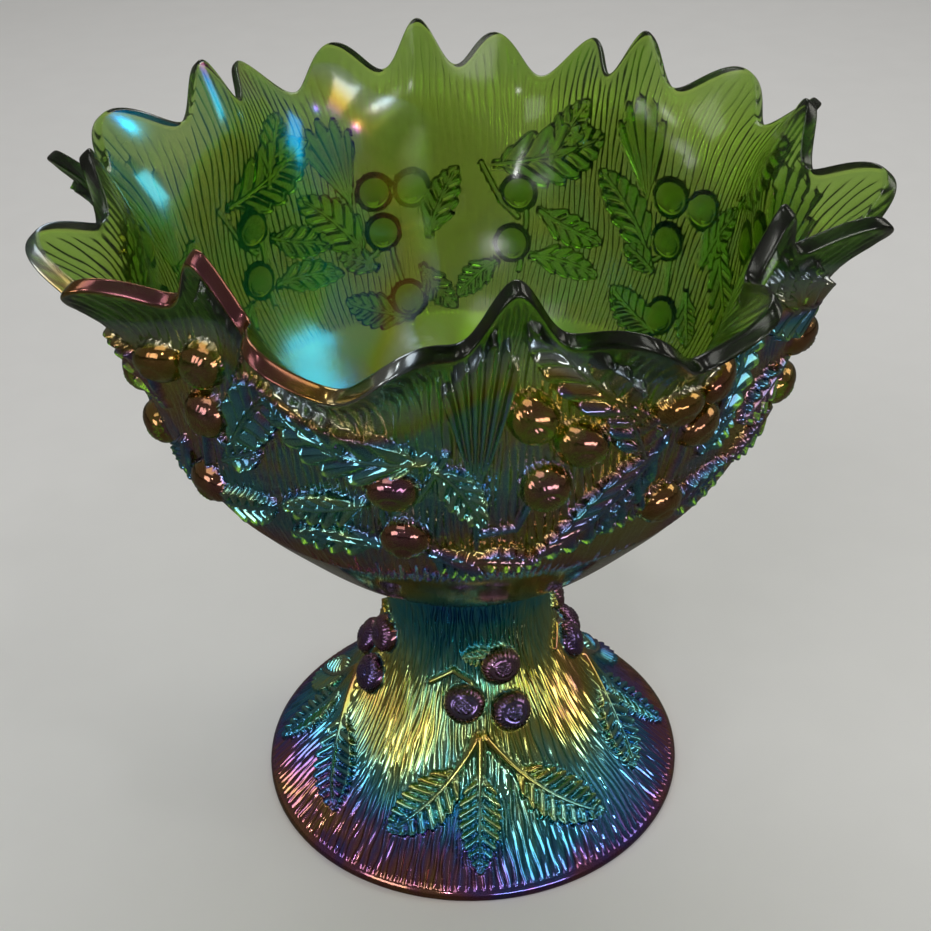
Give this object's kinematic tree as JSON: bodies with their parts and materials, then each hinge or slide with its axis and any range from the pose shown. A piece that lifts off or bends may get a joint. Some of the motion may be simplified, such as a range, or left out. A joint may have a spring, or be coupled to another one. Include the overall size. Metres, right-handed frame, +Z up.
{
  "type": "ruffled glass bowl on pedestal base",
  "caption": "Deep pressed glass bowl with a ruffled saw-tooth rim and acorn and leaf relief, resting by a foot ring on a separate hollow flared pedestal base.",
  "frame": {"origin": "centre of the foot, on the surface that the base stands on", "axes": "+Z up along the bowl's axis; -Y through the middle of an inward tooth of the rim"},
  "size_m": [0.2742, 0.2742, 0.2747],
  "materials": {
    "bowl_glass": "green pressed glass, clear smooth inside, violet, blue and gold iridescent lustre outside",
    "base_glass": "green pressed glass with a teal, gold and purple iridescent lustre"
  },
  "bodies": {
    "base": {"pedestal_base": "base_glass"},
    "bowl": {"bowl": "bowl_glass"}
  },
  "joints": [
    {"name": "bowl_lift", "type": "slide", "parent": "base", "child": "bowl", "axis": [0, 0, 1], "range_m": [0, 0.06]}
  ]
}
